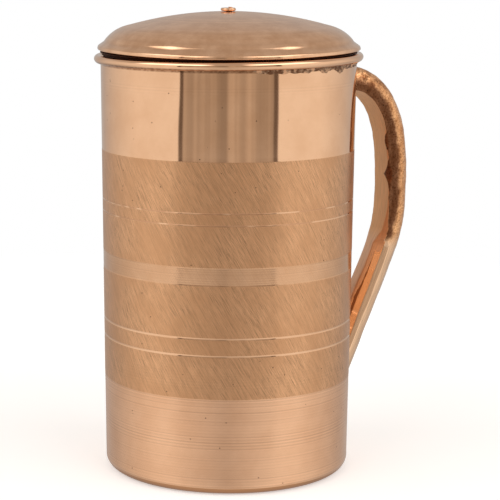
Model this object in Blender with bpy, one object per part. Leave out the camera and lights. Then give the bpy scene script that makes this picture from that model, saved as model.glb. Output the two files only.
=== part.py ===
"""Copper water jug with a lift-off lid.

The jug stands on z = 0 with its turning axis on +Z and its handle on +X.
Every piece is its own object; lengths are in metres.
"""
import math

import bmesh
import bpy
from mathutils import Vector

# --- driving dimensions -------------------------------------------------------------------
GAP = 0.0003                    # clearance kept between touching pieces
SEGMENTS = 64                   # facets around the jug's axis
SMALL_SEGMENTS = 24             # facets around the lid's rivet

# body: one spun sheet, slightly wider at the mouth
SHEET = 0.0007
BASE_RADIUS = 0.05225
MOUTH_RADIUS = 0.0540
BASE_CORNER = 0.0050

# rim: the sheet rolled outwards round a wire
ROLL_Z = 0.1763
ROLL_RADIUS = 0.0017
ROLL_END = math.radians(-114)   # where the raw edge stops, short of the wall
WIRE_RADIUS = 0.0006
ROLL_R = MOUTH_RADIUS - SHEET + ROLL_RADIUS

# solder run under the rolled rim, on the side that faces away from +Y
SOLDER_START = math.radians(-98)
SOLDER_END = math.radians(-13)
SOLDER_HEIGHT = 0.0020
SOLDER_DEPTH = 0.0009

# handle: a cast half-round bar, flat towards the jug
HANDLE_WIDTH = 0.0177
HANDLE_DEPTH = 0.0113
HANDLE_SIDE = 0.0022            # straight side between the flat and the round back
HANDLE_FLAT_CORNER = 0.0012
HANDLE_CENTRE = (               # radius from the jug's axis, height
    (0.0460, 0.1654),
    (0.0550, 0.1660),
    (0.0624, 0.1632),
    (0.0688, 0.1566),
    (0.0732, 0.1470),
    (0.0750, 0.1360),
    (0.0756, 0.1220),
    (0.0750, 0.1080),
    (0.0724, 0.0955),
    (0.0680, 0.0830),
    (0.0580, 0.0580),
    (0.0434, 0.0222),
)
STATIONS_PER_SPAN = 3
BRAZE_REACH = 0.0013            # how far the braze spreads round the handle
BRAZE_THICKNESS = 0.0012

# lid: a spun dome with a shoulder, a hollow corner and a flange with a hemmed edge
LID_APEX_Z = 0.1954
CROWN_RADIUS = 0.156
SHOULDER_RADIUS = 0.0181
CROWN_EDGE_R = 0.0430           # where the crown turns into the shoulder
SHOULDER_END_R = 0.0519
FLANGE_START_R = 0.0528
FLANGE_SLOPE = math.radians(35)
HEM_RADIUS = 0.00085
HEM_R = 0.0546
HEM_Z = 0.1800

# collar soldered inside the lid; its pinched fold rests on the rim
COLLAR_RADIUS = 0.0526
COLLAR_SHEET = 0.0005
COLLAR_TOP_Z = 0.1812
COLLAR_BOTTOM_Z = 0.1678
COLLAR_BEND = 0.0018            # height of the edge that is turned in
COLLAR_TURN_IN = 0.0007
FOLD_Z = 0.17865
FOLD_HALF = 0.0004
FOLD_RADIUS = 0.0541
FILLET_LEG = 0.0015             # solder fillet above the collar

# rivet button on the crown and its burr under the dome
BUTTON_RADIUS = 0.0034
BUTTON_THICKNESS = 0.0012
BUTTON_NUB = 0.0006
SHANK_RADIUS = 0.0012
RIVET_HOLE = SHANK_RADIUS + GAP
BURR_RADIUS = 0.0030
BURR_THICKNESS = 0.0006
TAIL_RADIUS = 0.0021
TAIL_HEIGHT = 0.0007

# colours, linear RGB
POLISHED_COPPER = (0.80, 0.47, 0.32, 1.0)
LID_COPPER = (0.76, 0.45, 0.31, 1.0)
CAST_COPPER = (0.66, 0.33, 0.16, 1.0)
SOLDER_METAL = (0.58, 0.45, 0.34, 1.0)


# --- helpers ------------------------------------------------------------------------------
def clear_scene():
    for obj in list(bpy.data.objects):
        bpy.data.objects.remove(obj, do_unlink=True)


def metal(name, colour, roughness):
    material = bpy.data.materials.new(name)
    material.use_nodes = True
    shader = material.node_tree.nodes["Principled BSDF"]
    shader.inputs["Base Color"].default_value = colour
    shader.inputs["Metallic"].default_value = 1.0
    shader.inputs["Roughness"].default_value = roughness
    return material


def finish(name, bm, material=None):
    """Put the bmesh into a new object: outward faces, smooth, sharp above 35 degrees."""
    bmesh.ops.recalc_face_normals(bm, faces=bm.faces)
    mesh = bpy.data.meshes.new(name)
    bm.to_mesh(mesh)
    bm.free()
    mesh.shade_smooth()
    mesh.set_sharp_from_angle(angle=math.radians(35))
    obj = bpy.data.objects.new(name, mesh)
    bpy.context.scene.collection.objects.link(obj)
    if material:
        mesh.materials.append(material)
    return obj


def turned(name, outline, material=None, segments=SEGMENTS, start=0.0, end=math.tau):
    """Spin an outline of (radius, height) points about the jug's axis.

    An outline whose two ends lie on the axis closes there; any other is a closed ring.
    """
    bm = bmesh.new()
    points = [Vector((r * math.cos(start), r * math.sin(start), z)) for r, z in outline]
    verts = [bm.verts.new(point) for point in points]
    edges = [bm.edges.new(pair) for pair in zip(verts, verts[1:])]
    on_axis = outline[0][0] == 0.0 and outline[-1][0] == 0.0
    if not on_axis:
        edges.append(bm.edges.new((verts[-1], verts[0])))
    whole_turn = end - start >= math.tau - 1e-9
    bmesh.ops.spin(bm, geom=verts + edges, cent=(0, 0, 0), axis=(0, 0, 1), dvec=(0, 0, 0),
                   angle=end - start, steps=segments, use_merge=whole_turn)
    bmesh.ops.remove_doubles(bm, verts=bm.verts, dist=1e-6)
    if not whole_turn:
        bmesh.ops.holes_fill(bm, edges=[edge for edge in bm.edges if edge.is_boundary])
    return finish(name, bm, material)


def arc(centre, radius, start, end, steps):
    """Points on an arc from one angle to another, both included, in degrees."""
    angles = [math.radians(start + (end - start) * i / steps) for i in range(steps + 1)]
    return [(centre[0] + radius * math.cos(a), centre[1] + radius * math.sin(a)) for a in angles]


def hide_as_cutter(obj):
    obj.hide_render = True
    obj.display_type = "WIRE"
    return obj


def boolean(obj, operation, other):
    modifier = obj.modifiers.new(operation.lower(), "BOOLEAN")
    modifier.operation = operation
    modifier.object = other


def wall_radius(z):
    """Outer radius of the body's wall at height z: a straight taper."""
    return BASE_RADIUS + (MOUTH_RADIUS - BASE_RADIUS) * z / ROLL_Z


# --- jug body -----------------------------------------------------------------------------
def body_shell(material):
    roll = (ROLL_R, ROLL_Z)
    roll_end = math.degrees(ROLL_END)
    corner_outer = (wall_radius(BASE_CORNER) - BASE_CORNER, BASE_CORNER)
    outline = [(0.0, 0.0)]
    outline += arc(corner_outer, BASE_CORNER, -90, 0, 5)
    outline += arc(roll, ROLL_RADIUS - SHEET, 180, roll_end, 8)
    outline += arc(roll, ROLL_RADIUS, roll_end, 180, 10)
    outline += arc(corner_outer, BASE_CORNER - SHEET, 0, -90, 5)
    outline += [(0.0, SHEET)]
    return turned("body_shell", outline, material)


def rim_wire(material):
    section = arc((ROLL_R, ROLL_Z), WIRE_RADIUS, 0, 360, 8)[:-1]
    return turned("rim_wire", section, material)


def rim_solder(material):
    top = ROLL_Z - ROLL_RADIUS - GAP
    inner = MOUTH_RADIUS + GAP
    section = [
        (inner, top),
        (inner + SOLDER_DEPTH, top),
        (inner + 0.45 * SOLDER_DEPTH, top - 0.5 * SOLDER_HEIGHT),
        (inner + 0.2 * SOLDER_DEPTH, top - SOLDER_HEIGHT),
        (inner, top - SOLDER_HEIGHT),
    ]
    return turned("rim_solder", section, material, 20, SOLDER_START, SOLDER_END)


# --- handle -------------------------------------------------------------------------------
def handle_stations():
    """Points and outward normals along a Catmull-Rom curve through HANDLE_CENTRE."""
    knots = [Vector(point) for point in HANDLE_CENTRE]
    knots = [2 * knots[0] - knots[1]] + knots + [2 * knots[-1] - knots[-2]]
    stations = []
    last_span = len(knots) - 4
    for span in range(last_span + 1):
        a, b, c, d = knots[span:span + 4]
        steps = STATIONS_PER_SPAN + (1 if span == last_span else 0)
        for i in range(steps):
            t = i / STATIONS_PER_SPAN
            point = 0.5 * (2 * b + (c - a) * t + (2 * a - 5 * b + 4 * c - d) * t ** 2
                           + (3 * b - 3 * c + d - a) * t ** 3)
            slope = 0.5 * ((c - a) + 2 * (2 * a - 5 * b + 4 * c - d) * t
                           + 3 * (3 * b - 3 * c + d - a) * t ** 2)
            slope.normalize()
            stations.append((point, Vector((-slope.y, slope.x))))
    return stations


def handle_section(grow):
    """Half-round section as (outwards, sideways) offsets, enlarged all round by grow."""
    half = HANDLE_WIDTH / 2 + grow
    flat = -HANDLE_DEPTH / 2 - grow
    spring = flat + HANDLE_SIDE
    corner = HANDLE_FLAT_CORNER
    points = []
    for i in range(13):
        angle = math.pi * i / 12
        rise = HANDLE_DEPTH / 2 + grow - spring
        points.append((spring + rise * math.sin(angle), half * math.cos(angle)))
    points += [(flat + corner - corner * math.sin(a), -half + corner - corner * math.cos(a))
               for a in (0.0, math.pi / 4, math.pi / 2)]
    points += [(flat + corner - corner * math.cos(a), half - corner + corner * math.sin(a))
               for a in (0.0, math.pi / 4, math.pi / 2)]
    return points


def handle_bar(name, grow, material=None):
    bm = bmesh.new()
    section = handle_section(grow)
    rings = []
    for point, normal in handle_stations():
        ring = []
        for out, side in section:
            spot = point + normal * out
            ring.append(bm.verts.new((spot.x, side, spot.y)))
        rings.append(ring)
    count = len(section)
    for near, far in zip(rings, rings[1:]):
        for i in range(count):
            j = (i + 1) % count
            bm.faces.new((near[i], near[j], far[j], far[i]))
    bm.faces.new(rings[0])
    bm.faces.new(list(reversed(rings[-1])))
    return finish(name, bm, material)


def wall_core():
    """Everything inside the wall's outer face plus the gap, for trimming the handle."""
    low = -0.010
    high = ROLL_Z
    outline = [(0.0, low), (wall_radius(low) + GAP, low),
               (wall_radius(high) + GAP, high), (0.0, high)]
    return hide_as_cutter(turned("wall_core", outline))


def handle(material):
    obj = handle_bar("handle", 0.0, material)
    boolean(obj, "DIFFERENCE", wall_core())
    return obj


def braze(name, low, high, spread, clearance, material):
    """Ring of braze on the wall round one end of the handle."""
    outline = []
    for z, depth in ((low, GAP), (low, BRAZE_THICKNESS), (high, BRAZE_THICKNESS), (high, GAP)):
        outline.append((wall_radius(z) + depth, z))
    obj = turned(name, outline, material)
    boolean(obj, "INTERSECT", spread)
    boolean(obj, "DIFFERENCE", clearance)
    return obj


# --- lid ----------------------------------------------------------------------------------
def lid_centres():
    """Centres of the crown and shoulder arcs, and the angle from the axis where they meet."""
    crown = (0.0, LID_APEX_Z - CROWN_RADIUS)
    meet = math.asin(CROWN_EDGE_R / CROWN_RADIUS)
    reach = CROWN_RADIUS - SHOULDER_RADIUS
    shoulder = (reach * math.sin(meet), crown[1] + reach * math.cos(meet))
    return crown, shoulder, meet


def lid_surface(depth, inner_r):
    """Dome outline from inner_r to the shoulder's end, at this depth below the outer face."""
    crown, shoulder, meet = lid_centres()
    first = math.asin(inner_r / (CROWN_RADIUS - depth))
    last = math.asin((SHOULDER_END_R - shoulder[0]) / SHOULDER_RADIUS)
    points = arc(crown, CROWN_RADIUS - depth, 90 - math.degrees(first), 90 - math.degrees(meet), 6)
    points += arc(shoulder, SHOULDER_RADIUS - depth,
                  90 - math.degrees(meet), 90 - math.degrees(last), 5)[1:]
    return points


def lid_shell(material):
    """Dome, flange tangent to the hem's round edge, and the sheet's inner face."""
    tangent_r = HEM_R + HEM_RADIUS * math.sin(FLANGE_SLOPE)
    tangent_z = HEM_Z + HEM_RADIUS * math.cos(FLANGE_SLOPE)
    fall = math.tan(FLANGE_SLOPE)
    start = (FLANGE_START_R, tangent_z + (tangent_r - FLANGE_START_R) * fall)
    under = (start[0] - SHEET * math.sin(FLANGE_SLOPE), start[1] - SHEET * math.cos(FLANGE_SLOPE))
    hem_inner = HEM_R - HEM_RADIUS
    outline = lid_surface(0.0, RIVET_HOLE)
    outline += [start]
    outline += arc((HEM_R, HEM_Z), HEM_RADIUS, 90 - math.degrees(FLANGE_SLOPE), -180, 7)
    outline += [(hem_inner, under[1] - (hem_inner - under[0]) * fall), under]
    outline += reversed(lid_surface(SHEET, RIVET_HOLE))
    return turned("lid_shell", outline, material)


def lid_collar(material):
    inner = COLLAR_RADIUS - COLLAR_SHEET
    bend_z = COLLAR_BOTTOM_Z + COLLAR_BEND
    fold_top, fold_foot = FOLD_Z + FOLD_HALF, FOLD_Z - FOLD_HALF
    fold_nose = FOLD_RADIUS - FOLD_HALF / 2
    outline = [
        (COLLAR_RADIUS, COLLAR_TOP_Z),
        (COLLAR_RADIUS, fold_top),
        (fold_nose, fold_top),
        (FOLD_RADIUS, FOLD_Z),
        (fold_nose, fold_foot),
        (COLLAR_RADIUS, fold_foot),
        (COLLAR_RADIUS, bend_z),
        (COLLAR_RADIUS - COLLAR_TURN_IN, COLLAR_BOTTOM_Z),
        (inner - COLLAR_TURN_IN, COLLAR_BOTTOM_Z + COLLAR_SHEET / 2),
        (inner, bend_z),
        (inner, COLLAR_TOP_Z),
    ]
    return turned("lid_collar", outline, material)


def collar_solder(material):
    """Fillet in the corner between the collar and the underside of the dome."""
    outer = COLLAR_RADIUS - COLLAR_SHEET - GAP
    middle, inner = outer - FILLET_LEG / 2, outer - FILLET_LEG
    shoulder = lid_centres()[1]
    reach = SHOULDER_RADIUS - SHEET - GAP

    def under_dome(r):
        return shoulder[1] + math.sqrt(reach ** 2 - (r - shoulder[0]) ** 2) - GAP / 2

    top = under_dome(outer)
    hollow = (outer - FILLET_LEG / 3, top)
    outline = [
        (outer, top - FILLET_LEG),
        (outer, top),
        (middle, under_dome(middle)),
        (inner, under_dome(inner)),
        hollow,
    ]
    return turned("collar_solder", outline, material)


def lid_button(material):
    """Rivet: flat button above the crown, shank through the dome, peened tail below."""
    under = LID_APEX_Z + GAP
    top = under + BUTTON_THICKNESS
    round_edge = BUTTON_THICKNESS / 2
    tail_top = LID_APEX_Z - SHEET - 2 * GAP - BURR_THICKNESS
    outline = [(0.0, top + BUTTON_NUB)]
    outline += arc((0.0, top), BUTTON_NUB, 60, 0, 2)
    outline += arc((BUTTON_RADIUS - round_edge, top - round_edge), round_edge, 90, -90, 4)
    outline += [
        (SHANK_RADIUS, under),
        (SHANK_RADIUS, tail_top),
        (TAIL_RADIUS, tail_top - 0.1 * TAIL_HEIGHT),
        (0.75 * TAIL_RADIUS, tail_top - 0.8 * TAIL_HEIGHT),
        (0.0, tail_top - TAIL_HEIGHT),
    ]
    return turned("lid_button", outline, material, SMALL_SEGMENTS)


def rivet_burr(material):
    top = LID_APEX_Z - SHEET - GAP
    bottom = top - BURR_THICKNESS
    outline = [(RIVET_HOLE, top), (BURR_RADIUS, top), (BURR_RADIUS, bottom), (RIVET_HOLE, bottom)]
    return turned("rivet_burr", outline, material, SMALL_SEGMENTS)


# --- assembly -----------------------------------------------------------------------------
def main():
    clear_scene()
    spun = metal("body_copper", POLISHED_COPPER, 0.22)
    wire = metal("wire_copper", POLISHED_COPPER, 0.30)
    cast = metal("handle_cast", CAST_COPPER, 0.38)
    solder = metal("solder", SOLDER_METAL, 0.45)
    lid_metal = metal("lid_copper", LID_COPPER, 0.28)
    collar_metal = metal("collar_copper", LID_COPPER, 0.35)
    rivet_metal = metal("rivet_copper", POLISHED_COPPER, 0.25)

    body_shell(spun)
    rim_wire(wire)
    rim_solder(solder)
    handle(cast)
    spread = hide_as_cutter(handle_bar("braze_spread", BRAZE_REACH))
    clearance = hide_as_cutter(handle_bar("braze_clearance", GAP))
    braze("upper_braze", 0.1500, 0.1740, spread, clearance, solder)
    braze("lower_braze", 0.0150, 0.0700, spread, clearance, solder)

    lid_axis = bpy.data.objects.new("lid_axis", None)
    bpy.context.scene.collection.objects.link(lid_axis)
    lid_pieces = (lid_shell(lid_metal), lid_collar(collar_metal), collar_solder(solder),
                  lid_button(rivet_metal), rivet_burr(rivet_metal))
    for piece in lid_pieces:
        piece.parent = lid_axis


main()
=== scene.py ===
"""Looks of the copper water jug: spun body, cast handle, brazed joints and domed lid.

The jug stands on z = 0, its turning axis is +Z and its handle is on +X. Metres throughout.
"""
import math

import bpy
import numpy as np
from mathutils import Euler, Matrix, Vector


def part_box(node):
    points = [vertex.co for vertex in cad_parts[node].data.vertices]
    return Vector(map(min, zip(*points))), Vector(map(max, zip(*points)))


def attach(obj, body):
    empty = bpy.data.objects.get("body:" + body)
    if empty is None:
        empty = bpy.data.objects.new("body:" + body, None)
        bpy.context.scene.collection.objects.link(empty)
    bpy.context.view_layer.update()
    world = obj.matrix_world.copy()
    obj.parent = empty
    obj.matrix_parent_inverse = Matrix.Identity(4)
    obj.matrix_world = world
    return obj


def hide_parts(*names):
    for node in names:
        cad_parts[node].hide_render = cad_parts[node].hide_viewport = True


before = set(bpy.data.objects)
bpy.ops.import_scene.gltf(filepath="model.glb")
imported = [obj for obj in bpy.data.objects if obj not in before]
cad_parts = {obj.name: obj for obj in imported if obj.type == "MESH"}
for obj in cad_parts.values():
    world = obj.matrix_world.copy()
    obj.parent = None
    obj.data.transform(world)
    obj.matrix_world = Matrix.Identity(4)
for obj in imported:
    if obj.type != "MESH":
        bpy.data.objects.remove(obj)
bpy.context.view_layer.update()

# --- sizes --------------------------------------------------------------------------------
MM = 0.001
body_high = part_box("body_shell")[1]
lid_low, lid_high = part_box("lid_shell")
wire_low, wire_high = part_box("rim_wire")
collar_low, collar_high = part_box("lid_collar")
button_low, button_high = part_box("lid_button")
burr_low, burr_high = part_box("rivet_burr")

SHEET = 0.7 * MM
ROLL_Z = (wire_low.z + wire_high.z) / 2          # height of the rolled rim's centre
ROLL_RADIUS = body_high.z - ROLL_Z
ROLL_R = body_high.x - ROLL_RADIUS
MOUTH_RADIUS = ROLL_R - ROLL_RADIUS + SHEET
BASE_RADIUS = MOUTH_RADIUS - 1.75 * MM
BASE_CORNER = 5.0 * MM

# finish bands on the body, by height
SATIN_TOP = 138.1 * MM
SATIN_FOOT = 40.7 * MM
GROOVES = (117.3 * MM, 112.4 * MM, 65.9 * MM, 58.7 * MM)
GROOVE_DEPTHS = (0.002 * MM, 0.002 * MM, 0.05 * MM, 0.05 * MM)
BRIGHT_HALVES = (0.26 * MM, 0.26 * MM, 0.42 * MM, 0.42 * MM)   # half-widths of their bright cuts
STEP_TOP = 95.2 * MM
STEP_FOOT = 87.8 * MM
SIDEWAYS = math.radians(-18)                      # the side seen at the right from the front
RIM_DENT = math.radians(-138)                     # where a shallow dent runs up to the rim
RIM_RISE = 0.5 * MM                               # how far the rim is out of level, each way

# the jug is seen with its handle turned this far behind the right-hand edge
HANDLE_TURN = math.radians(18)


# --- shapes -------------------------------------------------------------------------------
def smoothstep(x, low, high):
    """0 below low, 1 above high, and 3t^2 - 2t^3 between them."""
    t = np.clip((x - low) / (high - low), 0, 1)
    return t * t * (3 - 2 * t)


def bell(x, centre, width):
    """exp(-((x - centre) / width)^2)."""
    return np.exp(-((x - centre) / width) ** 2)


def ripple(x, y, z, wavelength, seed, waves=10):
    """Soft unevenness, about -1 to 1: the mean of sine waves in seeded random directions."""
    rng = np.random.default_rng(seed)
    total = np.zeros(np.broadcast(x, y, z).shape)
    for _ in range(waves):
        aim = rng.normal(size=3)
        aim *= math.tau / (wavelength * rng.uniform(0.7, 1.5) * np.linalg.norm(aim))
        total += np.sin(aim[0] * x + aim[1] * y + aim[2] * z + rng.uniform(0, math.tau))
    return total / math.sqrt(waves) * 1.2


def line(start, end, count):
    """Evenly spaced (r, z) points from start up to, but not including, end."""
    t = np.arange(count)[:, None] / count
    return np.array(start) * (1 - t) + np.array(end) * t


def bend(centre, radius, start, end, count):
    """(r, z) points round an arc from one angle to another in degrees, both included."""
    a = np.radians(np.linspace(start, end, count))
    return np.stack([centre[0] + radius * np.cos(a), centre[1] + radius * np.sin(a)], axis=1)


def mesh_piece(name, verts, quads, tris, material, body):
    """A closed piece from arrays, faces turned outwards, riding on its body."""
    corners = np.concatenate([quads.ravel(), tris.ravel()])
    sizes = np.concatenate([np.full(len(quads), 4), np.full(len(tris), 3)])
    fans = np.concatenate([quads[:, [0, 1, 2]], quads[:, [0, 2, 3]], tris])
    a, b, c = (verts[fans[:, i]] for i in range(3))
    starts = np.concatenate([[0], np.cumsum(sizes)[:-1]])
    if np.einsum("ij,ij->i", a, np.cross(b, c)).sum() < 0:
        corners = np.concatenate([quads[:, ::-1].ravel(), tris[:, ::-1].ravel()])
    mesh = bpy.data.meshes.new(name)
    mesh.vertices.add(len(verts))
    mesh.vertices.foreach_set("co", verts.astype(np.float32).ravel())
    mesh.loops.add(len(corners))
    mesh.loops.foreach_set("vertex_index", corners.astype(np.int32))
    mesh.polygons.add(len(sizes))
    mesh.polygons.foreach_set("loop_start", starts.astype(np.int32))
    mesh.update(calc_edges=True)
    mesh.validate()
    mesh.shade_smooth()
    mesh.materials.append(material)
    piece = bpy.data.objects.new(name, mesh)
    bpy.context.scene.collection.objects.link(piece)
    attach(piece, body)
    return piece


def grid_piece(name, grid, material, body, ring=False, first_tip=None, last_tip=None):
    """A tube or shell from grid[row, column, xyz], whose columns always close round.

    ring joins the last row to the first. A tip is one point that closes an end row as a fan.
    """
    rows, columns = grid.shape[:2]
    verts = grid.reshape(-1, 3)
    index = np.arange(rows * columns).reshape(rows, columns)
    ahead = np.roll(index, -1, axis=1)
    low, low_next = (index, ahead) if ring else (index[:-1], ahead[:-1])
    high, high_next = (np.roll(index, -1, 0), np.roll(ahead, -1, 0)) if ring else (index[1:], ahead[1:])
    quads = np.stack([low, low_next, high_next, high], axis=-1).reshape(-1, 4)
    tris = np.zeros((0, 3), int)
    for tip, row, order in ((first_tip, 0, (0, 2, 1)), (last_tip, -1, (0, 1, 2))):
        if tip is not None:
            centre = np.full(columns, len(verts))
            fan = np.stack([centre, index[row], ahead[row]], axis=1)[:, order]
            tris = np.concatenate([tris, fan])
            verts = np.concatenate([verts, [tip]])
    return mesh_piece(name, verts, quads, tris, material, body)


def lathe(name, profile, columns, material, body, wobble=None, lift=None):
    """Carries an (r, z) profile round the jug's axis.

    wobble(angle, r, z) is the distance that each point moves outwards, lift the same
    upwards. A profile whose ends have r = 0 closes there in a fan, any other joins its last
    point to its first.
    """
    poles = profile[0, 0] == 0 and profile[-1, 0] == 0
    tips = [(0, 0, profile[0, 1]), (0, 0, profile[-1, 1])] if poles else [None, None]
    inner = profile[1:-1] if poles else profile
    angle = np.arange(columns) * math.tau / columns
    r, z = inner[:, :1], inner[:, 1:]
    radius = r + (wobble(angle[None, :], r, z) if wobble else 0 * angle)
    raised = z + (lift(angle[None, :], r, z) if lift else 0 * angle)
    grid = np.stack([radius * np.cos(angle), radius * np.sin(angle), raised], axis=-1)
    return grid_piece(name, grid, material, body, not poles, *tips)


# --- material kit -------------------------------------------------------------------------
def add(tree, kind, inputs=(), **settings):
    """A node with its settings, its inputs given as {socket: value or output}."""
    made = tree.nodes.new(kind)
    for key, value in settings.items():
        setattr(made, key, value)
    for key, value in dict(inputs).items():
        if isinstance(value, bpy.types.NodeSocket):
            tree.links.new(value, made.inputs[key])
        else:
            made.inputs[key].default_value = value
    return made


def calc(tree, operation, *values, clamp=False):
    made = add(tree, "ShaderNodeMath", dict(enumerate(values)), operation=operation)
    made.use_clamp = clamp
    return made.outputs[0]


def times(tree, first, second):
    return calc(tree, "MULTIPLY", first, second)


def ramp(tree, value, *stops):
    """A colour ramp from (place, grey) or (place, (r, g, b)) stops."""
    made = add(tree, "ShaderNodeValToRGB", {"Fac": value})
    points = made.color_ramp.elements
    for i, (place, shade) in enumerate(stops):
        point = points[i] if i < 2 else points.new(place)
        point.position = place
        colour = shade if isinstance(shade, tuple) else (shade,) * 3
        point.color = (*colour, 1)
    return made.outputs["Color"]


def fade(tree, value, low, high, first=0.0, last=1.0):
    """A straight run from first, where value is low, to last, where it is high."""
    return add(tree, "ShaderNodeMapRange",
               {0: value, 1: low, 2: high, 3: first, 4: last}).outputs[0]


def band(tree, value, low, high, soft):
    """1 where value is between low and high, fading to 0 over soft at each edge."""
    return times(tree, fade(tree, value, low - soft / 2, low + soft / 2),
                 fade(tree, value, high - soft / 2, high + soft / 2, 1.0, 0.0))


def noise(tree, place, scale, detail=2.0, roughness=0.5):
    """Soft noise in space."""
    return add(tree, "ShaderNodeTexNoise", {"Vector": place, "Scale": scale, "Detail": detail,
                                            "Roughness": roughness}).outputs[0]


def noise_along(tree, place, scale):
    """Soft noise along one value."""
    return add(tree, "ShaderNodeTexNoise", {"W": place, "Scale": scale, "Detail": 2.0},
               noise_dimensions="1D").outputs[0]


def height_and_radius(tree, place):
    """Height above the base, and distance from the jug's axis."""
    split = add(tree, "ShaderNodeSeparateXYZ", {0: place}).outputs
    flat = add(tree, "ShaderNodeCombineXYZ", {0: split["X"], 1: split["Y"]}).outputs[0]
    radius = add(tree, "ShaderNodeVectorMath", {0: flat}, operation="LENGTH").outputs[1]
    return split["Z"], radius


def blend_colour(tree, factor, first, second, mode="MIX"):
    made = add(tree, "ShaderNodeMix", {0: factor, 6: first, 7: second},
               data_type="RGBA", blend_type=mode)
    return made.outputs[2]


def tint(tree, share, colour, by):
    """The colour multiplied by another, by this share."""
    return blend_colour(tree, share, colour, by, "MULTIPLY")


def blend_value(tree, factor, first, second):
    return add(tree, "ShaderNodeMix", {0: factor, 2: first, 3: second}).outputs[0]


def effect(name, inputs, outputs):
    """An empty node group: returns its tree, input sockets by name, and a function for outputs."""
    tree = bpy.data.node_groups.new(name, "ShaderNodeTree")
    kinds = {"vector": "NodeSocketVector", "value": "NodeSocketFloat", "colour": "NodeSocketColor"}
    for label, kind in inputs.items():
        tree.interface.new_socket(name=label, in_out="INPUT", socket_type=kinds[kind])
    for label, kind in outputs.items():
        tree.interface.new_socket(name=label, in_out="OUTPUT", socket_type=kinds[kind])
    start, end = tree.nodes.new("NodeGroupInput"), tree.nodes.new("NodeGroupOutput")

    def put(label, socket):
        tree.links.new(socket, end.inputs[label])

    return tree, start.outputs, put


def use(tree, group, **inputs):
    """Places an effect group; underscores in the input names stand for spaces."""
    made = add(tree, "ShaderNodeGroup", node_tree=group)
    for key, value in inputs.items():
        socket = made.inputs[key.replace("_", " ")]
        if isinstance(value, bpy.types.NodeSocket):
            tree.links.new(value, socket)
        else:
            socket.default_value = value
    return made.outputs


def hairline_effect():
    """Sanding scratches that climb round the axis on a helix.

    The point is turned about Z by Lean times its height, so lines of constant angle become
    helices, and its height is squeezed by Stretch, so noise specks become long hairlines.
    """
    tree, given, put = effect("sanding hairlines",
                              {"Vector": "vector", "Lean": "value", "Fineness": "value",
                               "Stretch": "value"},
                              {"Height": "value", "Streak": "value"})
    height = add(tree, "ShaderNodeSeparateXYZ", {0: given["Vector"]}).outputs["Z"]
    turned = add(tree, "ShaderNodeVectorRotate",
                 {"Vector": given["Vector"], "Angle": times(tree, height, given["Lean"])},
                 rotation_type="Z_AXIS").outputs[0]
    squeeze = add(tree, "ShaderNodeCombineXYZ", {0: 1.0, 1: 1.0, 2: given["Stretch"]}).outputs[0]
    drawn = add(tree, "ShaderNodeVectorMath", {0: turned, 1: squeeze}, operation="MULTIPLY").outputs[0]
    put("Height", noise(tree, drawn, given["Fineness"], 3.0, 0.7))
    put("Streak", noise(tree, drawn, times(tree, given["Fineness"], 0.22)))
    return tree


def turning_effect():
    """Rings left by turning: a wave of one pitch mixed with noise along a radius or height."""
    tree, given, put = effect("turning rings", {"Along": "value", "Pitch": "value"},
                              {"Height": "value", "Tone": "value"})
    place = calc(tree, "DIVIDE", given["Along"], given["Pitch"])
    wave = calc(tree, "MULTIPLY_ADD", calc(tree, "SINE", times(tree, place, math.tau)), 0.2, 0.5)
    put("Height", blend_value(tree, 0.5, noise_along(tree, place, 2.0), wave))
    put("Tone", noise_along(tree, place, 0.25))
    return tree


def tarnish_effect():
    """Cloudy tarnish and small dark specks."""
    tree, given, put = effect("tarnish", {"Vector": "vector", "Size": "value"},
                              {"Cloud": "value", "Speck": "value"})
    scale = calc(tree, "DIVIDE", 1.0, given["Size"])
    cells = add(tree, "ShaderNodeTexVoronoi",
                {"Vector": given["Vector"], "Scale": times(tree, scale, 6.0)})
    spot = calc(tree, "LESS_THAN", cells.outputs["Distance"], 0.10)
    chosen = add(tree, "ShaderNodeSeparateColor", {0: cells.outputs["Color"]}).outputs[0]
    rare = calc(tree, "GREATER_THAN", chosen, 0.87)
    put("Cloud", noise(tree, given["Vector"], scale, 4.0, 0.6))
    put("Speck", times(tree, spot, rare))
    return tree


def pore_effect():
    """Casting skin: grain, and scattered pores of uneven size."""
    tree, given, put = effect("casting grain", {"Vector": "vector", "Size": "value"},
                              {"Height": "value", "Pore": "value"})
    scale = calc(tree, "DIVIDE", 1.0, given["Size"])
    cells = add(tree, "ShaderNodeTexVoronoi", {"Vector": given["Vector"],
                                               "Scale": times(tree, scale, 0.55)})
    chosen = add(tree, "ShaderNodeSeparateColor", {0: cells.outputs["Color"]}).outputs[0]
    width = fade(tree, chosen, 0.72, 1.0, 0.0, 0.30)
    inside = calc(tree, "SUBTRACT", width, cells.outputs["Distance"])
    put("Height", noise(tree, given["Vector"], scale, 3.0, 0.65))
    put("Pore", fade(tree, inside, 0.0, 0.10))
    return tree


HAIRLINES = hairline_effect()
TURNING = turning_effect()
TARNISH = tarnish_effect()
PORES = pore_effect()


def metal(name):
    """A metal's material: its tree, its shader and its Object coordinates."""
    material = bpy.data.materials.new(name)
    material.use_nodes = True
    tree = material.node_tree
    shader = tree.nodes["Principled BSDF"]
    shader.inputs["Metallic"].default_value = 1.0
    place = add(tree, "ShaderNodeTexCoord").outputs["Object"]
    return material, tree, shader, place


def bump(tree, height, depth, normal=None):
    inputs = {"Height": height, "Distance": depth, "Strength": 1.0}
    if normal is not None:
        inputs["Normal"] = normal
    return add(tree, "ShaderNodeBump", inputs).outputs[0]


def connect(tree, shader, colour, roughness, normal=None):
    tree.links.new(colour, shader.inputs["Base Color"])
    tree.links.new(roughness, shader.inputs["Roughness"])
    if normal is not None:
        tree.links.new(normal, shader.inputs["Normal"])


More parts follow.
